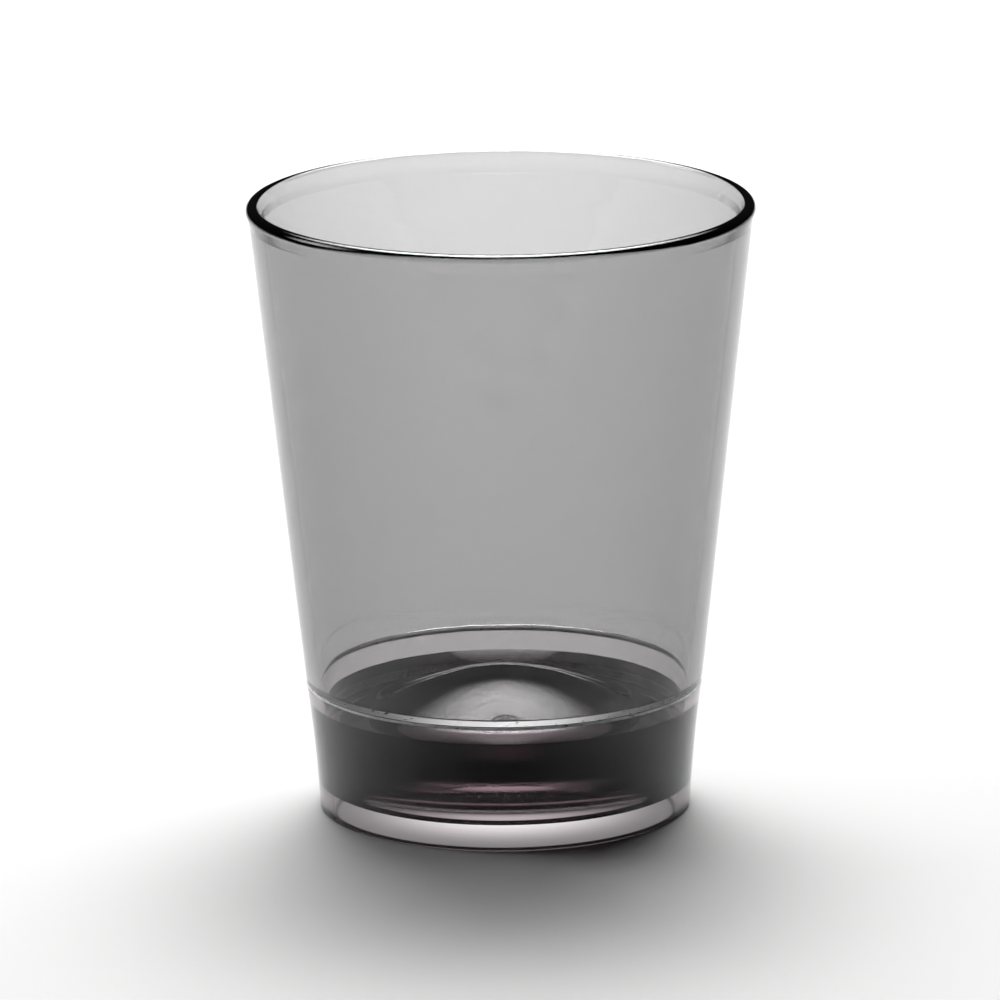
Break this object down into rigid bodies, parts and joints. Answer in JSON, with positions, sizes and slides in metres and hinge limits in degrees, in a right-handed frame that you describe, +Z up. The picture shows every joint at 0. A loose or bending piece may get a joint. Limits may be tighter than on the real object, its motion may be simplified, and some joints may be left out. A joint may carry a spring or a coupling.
{
  "type": "whiskey tumbler",
  "caption": "Tapered smoke-tinted drinking tumbler with a thickened lip, its clear wall cemented onto a heavy solid base with a raised floor and domed underside.",
  "frame": {"origin": "centre of the foot ring, on the surface the tumbler stands on", "axes": "+Z up along the tumbler's axis of revolution, towards the mouth; X and Y are arbitrary because the tumbler is round"},
  "size_m": [0.0836, 0.0836, 0.102],
  "materials": {
    "wall_smoke": "polished clear smoke-tinted acrylic",
    "base_smoke": "polished clear smoke-tinted acrylic, near black through its depth",
    "cement": "cured cement, whitish and silvery where thin air films are caught in it"
  },
  "bodies": {
    "root": {"cup_wall": "wall_smoke", "base": "base_smoke", "cement_ring": "cement"}
  },
  "joints": []
}
